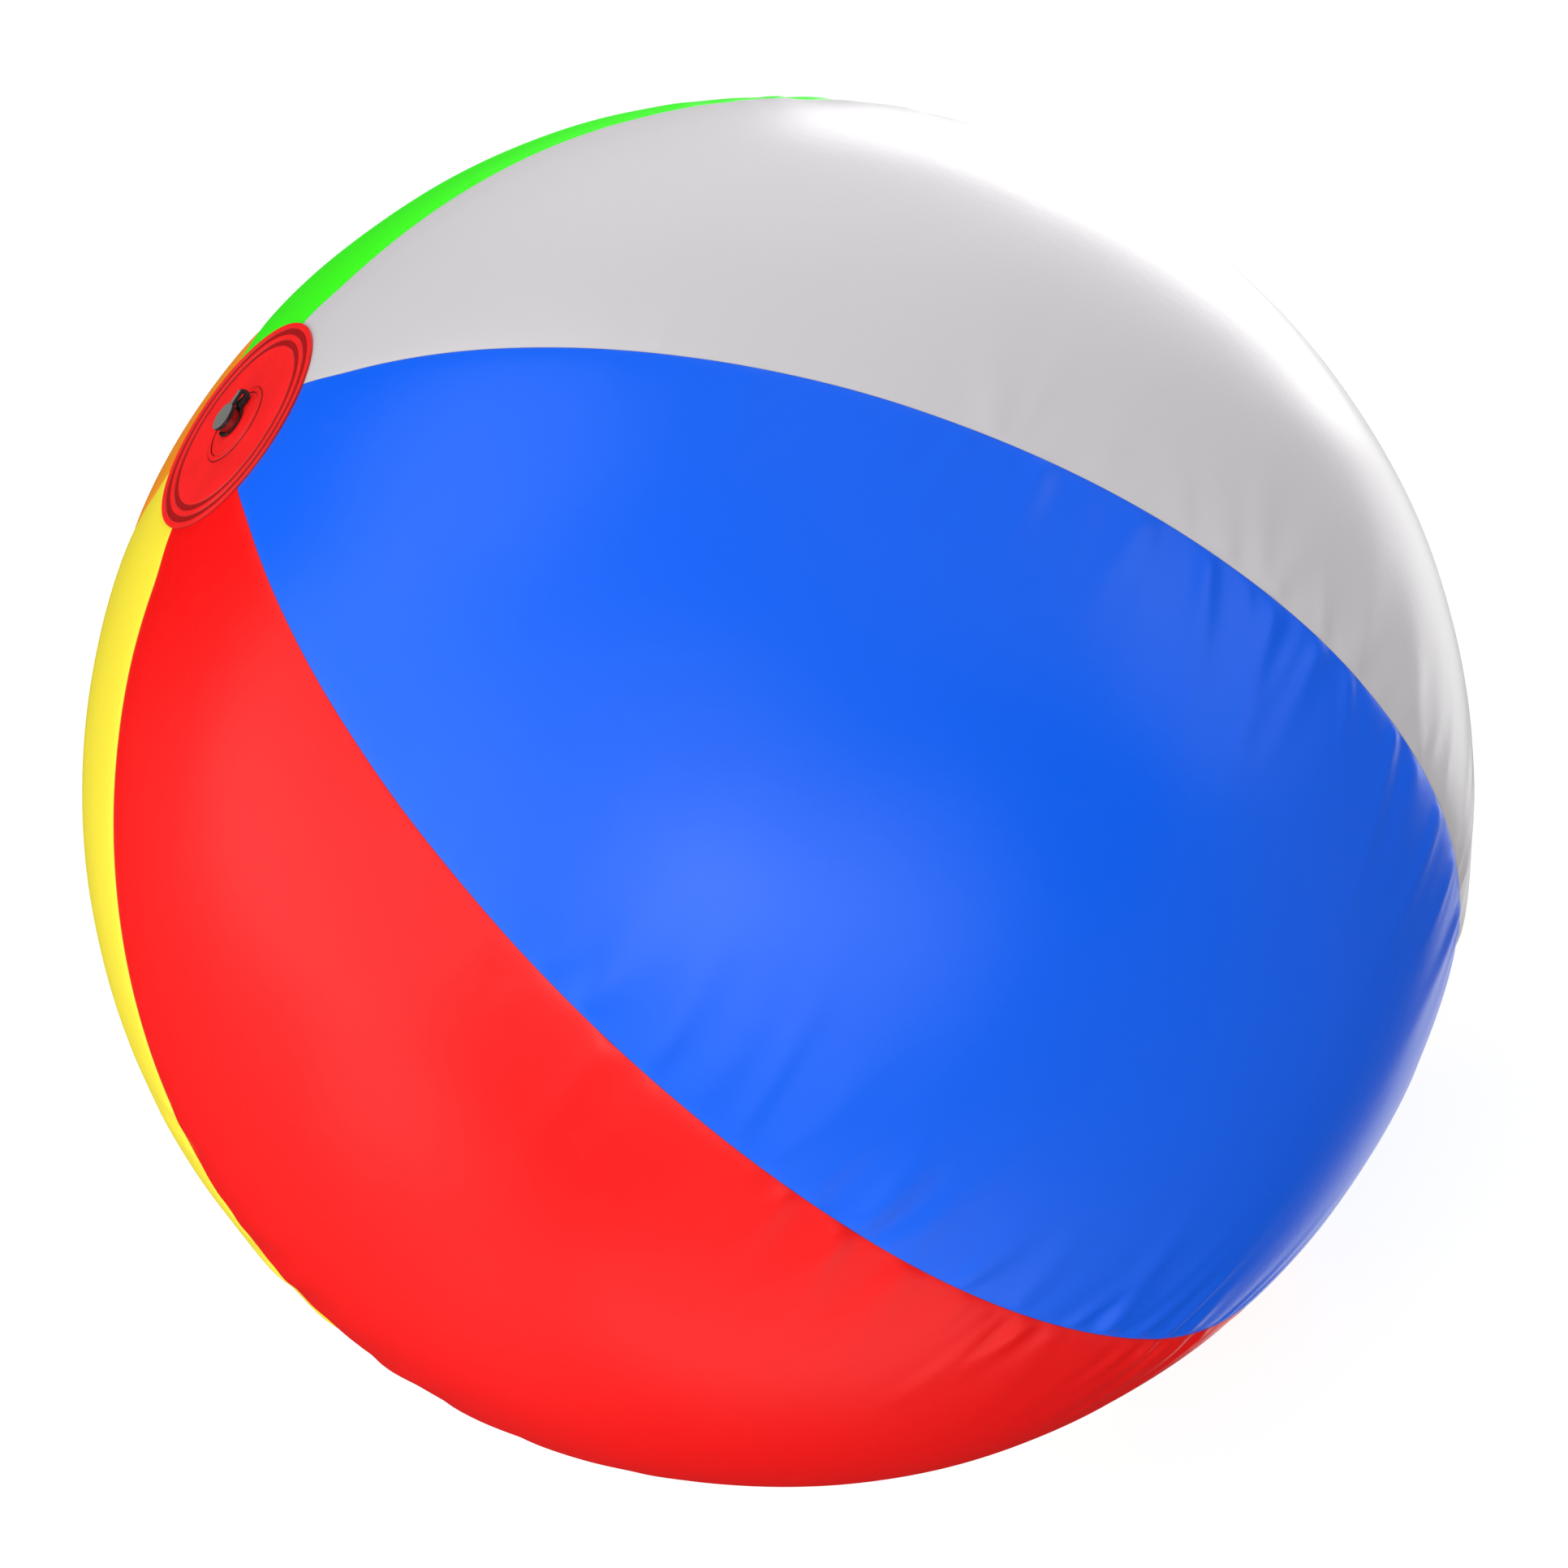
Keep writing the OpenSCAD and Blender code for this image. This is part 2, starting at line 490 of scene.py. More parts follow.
    def dress(self, **sockets: object) -> bpy.types.Material:
        """Feed the shader's sockets, with _ for a space in their names, and hand back the material."""
        for name, value in sockets.items():
            self.feed(self.shader.inputs[name.replace("_", " ")], value)
        return self.material


# ---------------------------------------------------------------- finishes


@dataclass(frozen=True)
class VinylFilm:
    """Glossy pressed vinyl film, faintly mottled, and dulled and darkened where it is welded."""

    name: str
    colour: Colour
    weld_colour: Colour
    roughness: float = 0.31
    weld_line: float = 0.45 * MM
    heated: Point = (0.5 * MM, 5 * MM)
    cloud_scale: float = 14.0
    rub_scale: float = 55.0
    mottle_scale: float = 260.0
    grain_scale: float = 1400.0

    def material(self) -> bpy.types.Material:
        """Build the film's material."""
        graph = Graph(self.name)
        place = graph.place()
        weld = graph.node("ShaderNodeAttribute", {"attribute_name": "weld_distance"}, output="Fac")
        line = graph.between(weld, 0.0, self.weld_line, 1.0, 0.0)
        heat = graph.between(weld, *self.heated, 1.0, 0.0)
        cloud = graph.noise(place, self.cloud_scale, 3.0)
        mottle = graph.noise(place, self.mottle_scale, 5.0, 0.62)
        grain = graph.noise(place, self.grain_scale, 2.0)
        rub = graph.between(graph.noise(place, self.rub_scale, 6.0, 0.7), 0.56, 0.72, 0.0, 1.0)
        tint = graph.between(cloud, 0.3, 0.7, 0.0, 0.05)
        shade = tuple(channel * 0.8 for channel in self.colour)
        film = graph.mix(tint, self.colour, shade)
        film = graph.mix(line * 0.6, film, self.weld_colour)
        roughness = self.roughness + (cloud - 0.5) * 0.04 + (mottle - 0.5) * 0.04
        roughness = roughness + rub * 0.04 + heat * 0.05
        relief = graph.dent(mottle, 0.3, 0.25 * MM)
        relief = graph.dent(grain, 0.05, 0.02 * MM, relief)
        return graph.dress(Base_Color=film, Roughness=roughness, Normal=relief, Specular_IOR_Level=SHEEN)


@dataclass(frozen=True)
class DiscVinyl:
    """Thicker vinyl of the end discs, pressed thin along its two weld grooves, with painted shade in the
    grooves, along the rounded rim and in a ring at the valve lip's radius.
    """

    name: str
    colour: Colour
    shade_and_tone_colour: Colour
    grooves: tuple[Point, Point]
    edge: float
    flange: float
    roughness: float = 0.34

    def material(self) -> bpy.types.Material:
        """Build the disc's material."""
        graph = Graph(self.name)
        place = graph.place()
        radius = graph.axis_distance(place)
        # Painted shade: darker in both grooves, at the rounded rim and in a ring where the valve lip's foot
        # stands; the same dark red also tints random clouds.
        painted_shade: Value | float = 0.0
        for inner, outer in self.grooves:
            middle, half = (inner + outer) / 2, (outer - inner) / 2
            away = graph.maths("ABSOLUTE", radius - middle)
            painted_shade = graph.between(away, half - 0.3 * MM, half + 0.2 * MM, 1.0, 0.0) + painted_shade
        painted_shade = graph.between(radius, self.edge - 0.35 * MM, self.edge, 0.0, 0.8) + painted_shade
        foot = graph.maths("ABSOLUTE", radius - self.flange)
        painted_shade = graph.between(foot, 0.1 * MM, 0.9 * MM, 0.9, 0.0) + painted_shade
        cloud = graph.noise(place, 60.0, 3.0)
        grain = graph.noise(place, 1500.0, 3.0)
        weave = graph.noise(place, 420.0, 4.0)
        film = graph.mix(graph.between(cloud, 0.3, 0.7, 0.0, 0.12), self.colour, self.shade_and_tone_colour)
        film = graph.mix(painted_shade * 0.8, film, self.shade_and_tone_colour)
        roughness = self.roughness + (weave - 0.5) * 0.12 + painted_shade * 0.08
        relief = graph.dent(weave, 0.2, 0.12 * MM)
        relief = graph.dent(grain, 0.15, 0.04 * MM, relief)
        return graph.dress(Base_Color=film, Roughness=roughness, Normal=relief, Specular_IOR_Level=SHEEN)


@dataclass(frozen=True)
class MouldedVinyl:
    """Soft moulded vinyl of the valve parts: satin, finely grained and worn pale at random, with painted
    light and shade: faces that look up, above a given height, take a second colour and the sides keep the
    first.
    """

    name: str
    colour: Colour
    painted_top_and_wear_colour: Colour
    roughness: float = 0.42
    painted_top_above: float = 0.0
    grain_height: float = 0.05 * MM

    def material(self) -> bpy.types.Material:
        """Build the moulding's material."""
        graph = Graph(self.name)
        place = graph.place()
        cloud = graph.noise(place, 180.0, 4.0, 0.6)
        grain = graph.noise(place, 3200.0, 3.0)
        # Painted light and shade: faces that look up, above the given height, take the second colour; the
        # sides keep the first.
        facing = graph.height_of(graph.node("ShaderNodeTexCoord", output="Normal"))
        start = self.painted_top_above
        high = graph.between(graph.height_of(place), start, start + 0.2 * MM, 0.0, 1.0)
        painted_top_mask = graph.between(facing, 0.5, 0.95, 0.0, 0.9) * high
        wear = graph.between(graph.noise(place, 700.0, 5.0, 0.7), 0.45, 0.7, 0.0, 0.15)
        skin = graph.mix(painted_top_mask + wear, self.colour, self.painted_top_and_wear_colour)
        roughness = self.roughness + (cloud - 0.5) * 0.15 + (grain - 0.5) * 0.1
        relief = graph.dent(grain, 0.35, self.grain_height)
        return graph.dress(Base_Color=skin, Roughness=roughness, Normal=relief, Specular_IOR_Level=SHEEN)


class FilmColour(Enum):
    """The colours the panels are cut from, each as film and as weld line."""

    BLUE = (linear(0, 97, 243), linear(0, 60, 160))
    WHITE = (linear(204, 201, 204), linear(175, 173, 175))
    GREEN = (linear(62, 255, 28), linear(30, 140, 15))
    ORANGE = (linear(255, 155, 30), linear(150, 80, 15))
    YELLOW = (linear(255, 236, 60), linear(150, 135, 30))
    RED = (linear(246, 3, 3), linear(150, 0, 0))


class Body(Enum):
    """The bodies of the frame that pieces ride on."""

    SHELL = "shell"
    VALVE = "valve"
    COLLAR = "collar"
    STOPPER = "stopper"


# ---------------------------------------------------------------- the frame's own sizes


@dataclass(frozen=True)
class BallFrame:
    """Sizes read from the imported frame, in metres."""

    radius: float
    disc_under: float
    disc_top: float
    disc_radius: float
    lip_top: float
    lip_radius: float
    weld_flange_radius: float
    stem_radius: float
    stem_mouth: float
    stem_end: float
    cap_bottom: float
    cap_top: float
    cap_radius: float
    plug_tip: float
    collar_bottom: float
    collar_top: float
    collar_radius: float
    diaphragm_top: float
    well_radius: float
    strap_reach: float
    strap_width: float
    strap_top: float

    @classmethod
    def read(cls, frame: dict) -> "BallFrame":
        """Read every size from the nodes' boxes.


        Returns:
            The sizes.
        """
        boxes = {name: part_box(name) for name in frame["nodes"]}
        low = {name: box[0] for name, box in boxes.items()}
        high = {name: box[1] for name, box in boxes.items()}
        return cls(
            radius=high["panel_orange"].y,
            disc_under=low["valve_end_disc"].z,
            disc_top=high["valve_end_disc"].z,
            disc_radius=high["valve_end_disc"].y,
            lip_top=high["valve_flange"].z,
            lip_radius=15.3 * MM,
            weld_flange_radius=high["valve_flange"].y,
            stem_radius=high["valve_stem"].y,
            stem_mouth=high["valve_stem"].z,
            stem_end=low["valve_stem"].z,
            cap_bottom=high["valve_stem"].z + 0.05 * MM,
            cap_top=high["stopper"].z,
            cap_radius=high["stopper"].y,
            plug_tip=low["stopper"].z,
            collar_bottom=low["tether_collar"].z,
            collar_top=high["tether_collar"].z,
            collar_radius=-low["tether_collar"].x,
            diaphragm_top=high["valve_diaphragm"].z,
            well_radius=high["valve_diaphragm"].y,
            strap_reach=high["tether_strap"].x,
            strap_width=2 * high["tether_strap"].y,
            strap_top=high["tether_strap"].z,
        )


# ---------------------------------------------------------------- the film skin


@dataclass(frozen=True)
class Pucker:
    """One crease that starts at a weld and fades into the panel. Lengths are in metres."""

    along: float
    width: float
    reach: float
    height: float
    slant: float
    flare: float = 0.6
    trough: float = 0.55
    trough_width: float = 1.9
    weld_hold: float = 2.2 * MM

    def rise(self, along: np.ndarray, away: np.ndarray) -> np.ndarray:
        """How far the crease lifts the film.

        Args:
            along: Each point's place along the weld, from the valve's pole.
            away: Each point's distance from the weld.

        Returns:
            The lift at each point.
        """
        width = self.width * (1 + self.flare * away / self.reach)
        across = (along - self.along - self.slant * away) / width
        ridge = np.exp(-0.5 * across**2) - self.trough * np.exp(-0.5 * (across / self.trough_width) ** 2)
        fade = (1 - np.exp(-away / self.weld_hold)) * np.exp(-((away / self.reach) ** 2))
        return self.height * ridge * fade


@dataclass
class Creases:
    """The seeded puckers along the six welds: dense past the middle of the ball, few near the valve."""

    seed: int = 5
    count: int = 44
    widths: Point = (2.2 * MM, 5.0 * MM)
    reaches: Point = (16 * MM, 52 * MM)
    heights: Point = (0.4 * MM, 1.9 * MM)
    polar_start: float = 30
    polar_span: float = 128
    gather: Point = (2.0, 1.8)
    least_growth: float = 0.3
    growth_start: float = 35
    growth_span: float = 45
    few_strong: float = 1.3
    slant: float = 0.25

    def beside(self, weld: int, side: int, radius: float) -> list[Pucker]:
        """Draw the puckers on one side of one weld.

        Args:
            weld: The weld's number round the ball.
            side: 1 or -1, for the panel on either side of it.
            radius: The ball's radius.

        Returns:
            The puckers.
        """
        draw = random.Random(self.seed * 1000 + weld * 10 + side)
        found = []
        for _ in range(self.count):
            polar = math.radians(self.polar_start + self.polar_span * draw.betavariate(*self.gather))
            grown = (polar - math.radians(self.growth_start)) / math.radians(self.growth_span)
            growth = self.least_growth + (1 - self.least_growth) * min(1.0, max(0.0, grown))
            strength = draw.random() ** self.few_strong
            found.append(
                Pucker(
                    along=polar * radius,
                    width=draw.uniform(*self.widths),
                    reach=self.reaches[0] + (self.reaches[1] - self.reaches[0]) * draw.random() * growth,
                    height=(self.heights[0] + (self.heights[1] - self.heights[0]) * strength) * growth,
                    slant=draw.uniform(-self.slant, self.slant),
                )
            )
        return found


@dataclass
class SoftWaves:
    """Slow waves over the whole skin, where the film is a little slacker or tighter."""

    seed: int = 11
    count: int = 16
    lengths: Point = (45 * MM, 140 * MM)
    height: float = 0.09 * MM

    def rise(self, points: np.ndarray) -> np.ndarray:
        """How far the waves lift the film at each point.

        Args:
            points: Places on the ball.

        Returns:
            The lift at each point.
        """
        draw = np.random.default_rng(self.seed)
        lift = np.zeros(len(points))
        for _ in range(self.count):
            heading = draw.normal(size=3)
            heading /= np.linalg.norm(heading)
            length = draw.uniform(*self.lengths)
            phase = draw.uniform(0, math.tau)
            wave = np.sin(points @ heading * math.tau / length + phase)
            lift += self.height * (length / self.lengths[1]) * wave
        return lift


@dataclass
class FilmPanel:
    """One gore of film, welded to its neighbours along two meridians and to both end discs."""

    frame: BallFrame
    name: str
    node: str
    slot: str
    number: int
    colour: FilmColour
    creases: Creases
    waves: SoftWaves
    thickness: float = 0.4 * MM
    arc_points: int = 720
    columns: int = 96
    weld_depth: float = 4.0 * MM
    weld_dip: float = 0.75 * MM
    weld_dip_width: float = 4.5 * MM
    weld_notch: float = 0.12 * MM
    weld_notch_width: float = 0.7 * MM
    margin_radius: float = 31 * MM
    even_columns: float = 0.38
    disc_hold: float = 22 * MM
    weld_end: float = 0.955
    smooth_below: float = 38
    piece: bpy.types.Object = field(init=False)

    @property
    def half(self) -> float:
        """Half of the panel's angle, in radians."""
        return math.radians(180 / PANELS)

    @property
    def middle(self) -> float:
        """The angle of the panel's middle about the axis, in radians."""
        return math.radians(-90 + 360 / PANELS * self.number)

    def build(self) -> None:
        """Make the panel's film, from an arc spun through its angle."""
        self._spin_arc()
        self._inflate()
        self._turn_in_edges()
        apply_modifier(self.piece, "SOLIDIFY", thickness=self.thickness, offset=-1.0, use_even_offset=True)
        smooth(self.piece, self.smooth_below)

    def _spin_arc(self) -> None:
        """Add a circle, cut it down to one side of the ball between the discs, and spin it."""
        frame = self.frame
        deselect_all()
        bpy.ops.mesh.primitive_circle_add(
            vertices=self.arc_points, radius=frame.radius, fill_type="NOTHING", rotation=(math.pi / 2, 0, 0)
        )
        self.piece = name_piece(bpy.context.object, self.name)
        bpy.ops.object.transform_apply(location=True, rotation=True, scale=True)
        edit(self.piece)
        for place, normal in (
            ((0, 0, 0), (-1, 0, 0)),
            ((0, 0, frame.disc_under), (0, 0, 1)),
            ((0, 0, -frame.disc_under), (0, 0, -1)),
        ):
            bpy.ops.mesh.select_all(action="SELECT")
            bpy.ops.mesh.bisect(plane_co=place, plane_no=normal, clear_outer=True)
        bpy.ops.mesh.select_all(action="SELECT")
        bpy.ops.mesh.spin(steps=self.columns, angle=2 * self.half, center=(0, 0, 0), axis=(0, 0, 1))
        leave_edit()
        close_and_face_out(self.piece)

    def _inflate(self) -> None:
        """Lay the film on the inflated ball: dipped at its welds, creased beside them and slightly wavy."""
        points = positions(self.piece)
        radius = self.frame.radius
        turn = np.abs(np.arctan2(points[:, 1], points[:, 0]))
        share = turn / (2 * self.half)
        crowded = 0.5 - 0.5 * np.cos(np.pi * np.clip(share, 0, 1))
        share = self.even_columns * share + (1 - self.even_columns) * crowded
        azimuth = (2 * share - 1) * self.half
        polar = np.arccos(np.clip(points[:, 2] / radius, -1, 1))
        away = (self.half - np.abs(azimuth)) * np.sin(polar) * radius
        along = polar * radius
        heading = azimuth + self.middle
        outward = np.stack(
            [np.sin(polar) * np.cos(heading), np.sin(polar) * np.sin(heading), np.cos(polar)], axis=1
        )
        lift = self.waves.rise(outward * radius)
        lift -= self.weld_dip * np.exp(-away / self.weld_dip_width)
        lift -= self.weld_notch * np.exp(-away / self.weld_notch_width)
        for side in (-1, 1):
            weld = (self.number + (side + 1) // 2) % PANELS
            beside = np.where(azimuth * side > 0, 1.0, 0.0)
            for pucker in self.creases.beside(weld, side, radius):
                lift += beside * pucker.rise(along, away)
        from_end = np.minimum(along, math.pi * radius - along) - self.frame.disc_radius
        lift *= ease(from_end, 0.0, self.disc_hold)
        move_to(self.piece, outward * (radius + lift)[:, None])
        distance = self.piece.data.attributes.new("weld_distance", "FLOAT", "POINT")
        distance.data.foreach_set("value", away.astype(np.float32))
        close_and_face_out(self.piece)
        self._check_facing()

    def _check_facing(self) -> None:
        """Flip the film if its faces look into the ball."""
        face = self.piece.data.polygons[0]
        if face.normal.dot(face.center) < 0:
            edit_all(self.piece)
            bpy.ops.mesh.flip_normals()
            leave_edit()

    def _turn_in_edges(self) -> None:
        """Extrude the welded edges into the ball and the ends under the discs."""
        frame = self.frame
        ends = frame.disc_under - 0.05 * MM
        edit(self.piece)
        select_edges(self.piece, lambda a, b: min(abs(a.z), abs(b.z)) > ends)
        bpy.ops.mesh.extrude_edges_move()
        share = self.margin_radius / frame.disc_radius
        bpy.ops.transform.resize(value=(share, share, 1), center_override=(0, 0, 0))
        select_edges(self.piece, self._on_weld)
        bpy.ops.mesh.extrude_edges_move()
        share = 1 - self.weld_depth / frame.radius
        bpy.ops.transform.resize(value=(share, share, share), center_override=(0, 0, 0))
        leave_edit()

    def _on_weld(self, start: Vector, end: Vector) -> bool:
        """Whether an edge runs along one of the panel's two welds, clear of the discs."""
        for point in (start, end):
            turn = (math.atan2(point.y, point.x) - self.middle + math.pi) % math.tau - math.pi
            if abs(abs(turn) - self.half) > 1e-4 or abs(point.z) > self.weld_end * self.frame.radius:
                return False
        return True

    def dress(self) -> None:
        """Give the panel its film and hang it on the shell."""
        film, weld = self.colour.value
        self.piece.data.materials.append(VinylFilm(f"{self.name}_vinyl", film, weld).material())
        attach(self.piece, Body.SHELL.value)
        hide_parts(self.node)


@dataclass
class BallSkin:
    """The six panels."""

    frame: BallFrame

    def build(self) -> Iterable[FilmPanel]:
        """Build and dress each panel in turn.

        Returns:
            The panels, as they are finished.
        """
        creases, waves = Creases(), SoftWaves()
        names = ("blue", "white", "green", "orange", "yellow", "red")
        for number, name in enumerate(names):
            panel = FilmPanel(
                frame=self.frame,
                name=f"film_{name}",
                node=f"panel_{name}",
                slot=f"film_{name}",
                number=number,
                colour=FilmColour[name.upper()],
                creases=creases,
                waves=waves,
            )
            panel.build()
            panel.dress()
            yield panel


# ---------------------------------------------------------------- the end discs


@dataclass
class EndDisc:
    """A disc of thicker vinyl welded over the panels' ends along two grooves."""

    frame: BallFrame
    name: str
    node: str
    hole_radius: float
    valve_end: bool
    groove_depth: float = 0.5 * MM
    groove_slope: float = 0.25 * MM
    crown: float = 0.12 * MM
    crown_run: float = 4 * MM
    steps: int = 192
    piece: bpy.types.Object = field(init=False)

    def outline(self) -> list[Point]:
        """The disc's section, from the hole's lower edge round the rim and back to its upper edge."""
        top, under = self.frame.disc_top, self.frame.disc_under
        rim = self.frame.disc_radius
        floor = top - self.groove_depth
        corners = [(self.hole_radius, under), (rim, under), (rim, top)]
        radii = [0.0, 0.1 * MM, 0.45 * MM]
        slope = self.groove_slope
        for inner, outer in (OUTER_GROOVE, INNER_GROOVE):
            corners += [(outer, top), (outer - slope, floor), (inner + slope, floor), (inner, top)]
            radii += [0.4 * MM, 0.3 * MM, 0.3 * MM, 0.4 * MM]
        crown = top + self.crown
        corners += [(INNER_GROOVE[0] - self.crown_run, crown), (self.hole_radius, crown)]
        radii += [2.0 * MM, 0.0]
        return rounded(corners, radii)

    def build(self) -> None:
        """Turn the section into the disc."""
        outline = self.outline()
        self.piece = turned(self.name, outline, self.steps, closed=self.hole_radius > 0)
        if not self.valve_end:
            edit_all(self.piece)
            bpy.ops.transform.mirror(constraint_axis=(False, False, True), center_override=(0, 0, 0))
            leave_edit()
            close_and_face_out(self.piece)
        smooth(self.piece, SMOOTH_BELOW)

    def dress(self, finish: DiscVinyl) -> None:
        """Give the disc its vinyl and hang it on the shell."""
        self.piece.data.materials.append(finish.material())
        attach(self.piece, Body.SHELL.value)
        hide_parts(self.node)


# ---------------------------------------------------------------- the valve


@dataclass
class ValveBody:
    """The red moulding: flange, diaphragm and stem."""

    frame: BallFrame
    passage_radius: float = 3.25 * MM
    skin: float = 0.3 * MM
    moat_inner: float = 12.4 * MM
    moat_floor: float = 0.55 * MM
    moat_edge: float = 0.05 * MM
    fold_start: float = 0.58 * MM
    fold_end: float = 0.36 * MM
    moat_rows: int = 10
    rise_rows: int = 20
    clearance: float = 0.02 * MM
    steps: int = 128
    pieces: dict[str, bpy.types.Object] = field(default_factory=dict)

    def build(self) -> None:
        """Build the flange, the diaphragm and the stem."""
        self.pieces["flange_lip"] = self._flange()
        self.pieces["diaphragm_skin"] = self._diaphragm()
        self.pieces["stem_tube"] = self._stem()
        for piece in self.pieces.values():
            smooth(piece, SMOOTH_BELOW)

    def _flange(self) -> bpy.types.Object:
        """The lip over the disc, its neck and the welded skirt under the disc."""
        frame = self.frame
        well, neck = frame.well_radius, frame.well_radius + NECK_WALL
        under = frame.disc_under
        corners = [
            (well, under - 0.8 * MM),
            (frame.weld_flange_radius, under - 0.8 * MM),
            (frame.weld_flange_radius, under),
            (neck, under),
            (neck, frame.disc_top),
            (frame.lip_radius, frame.disc_top),
            (frame.lip_radius - 0.2 * MM, frame.lip_top),
            (well, frame.lip_top),
            (well, under - 0.4 * MM),
        ]
        radii = [0, 0.2 * MM, 0.2 * MM, 0, 0, 0.1 * MM, 0.6 * MM, 0.15 * MM, 0]
        return turned("flange_lip", rounded(corners, radii), self.steps)

    def _diaphragm(self) -> bpy.types.Object:
        """The skin round the stem: a small moat inside the lip, then an easy rise to the stem."""
        frame = self.frame
        inner, outer = frame.stem_radius + self.clearance, frame.well_radius - self.clearance
        floor, edge = frame.lip_top - self.moat_floor, frame.lip_top - self.moat_edge
        spans = [
            (outer, self.moat_inner, floor, edge, self.moat_rows),
            (self.moat_inner, inner, edge, frame.diaphragm_top, self.rise_rows),
        ]
        upper = [(outer, floor)]
        for near, far, low, high, rows in spans:
            for row in range(1, rows + 1):
                share = row / rows
                height = low + (high - low) * float(ease(share, 0, 1))
                upper.append((near + (far - near) * share, height))
        lower = [(radius, height - self.skin) for radius, height in upper]
        return turned("diaphragm_skin", upper + lower[::-1], self.steps)

    def _stem(self) -> bpy.types.Object:
        """The tube that stands out of the ball, open from end to end."""
        frame = self.frame
        outer, bore = frame.stem_radius, self.passage_radius
        corners = [
            (bore, (frame.stem_mouth + frame.stem_end) / 2),
            (bore, frame.stem_mouth),
            (outer, frame.stem_mouth),
            (outer, frame.stem_end),
            (bore, frame.stem_end),
            (bore, frame.stem_end + 2 * MM),
        ]
        radii = [0, 0.35 * MM, 0.35 * MM, 0.2 * MM, 0.2 * MM, 0]
        return turned("stem_tube", rounded(corners, radii), self.steps)

    def dress(self, finish: MouldedVinyl) -> None:
        """Give the parts their vinyl, hang the lip on the shell and the stem on the valve, and fix the
        diaphragm skin where it stands.
        """
        frame = self.frame
        vinyl = finish.material()
        for piece in self.pieces.values():
            piece.data.materials.append(vinyl)
        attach(self.pieces["flange_lip"], Body.SHELL.value)
        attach(self.pieces["stem_tube"], Body.VALVE.value)
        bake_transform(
            self.pieces["diaphragm_skin"],
            Body.SHELL.value,
            Body.VALVE.value,
            start=(0, 0, frame.lip_top - self.fold_start),
            end=(0, 0, frame.lip_top - self.fold_end),
        )
        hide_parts("valve_flange")
        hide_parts("valve_diaphragm")
        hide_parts("valve_stem")


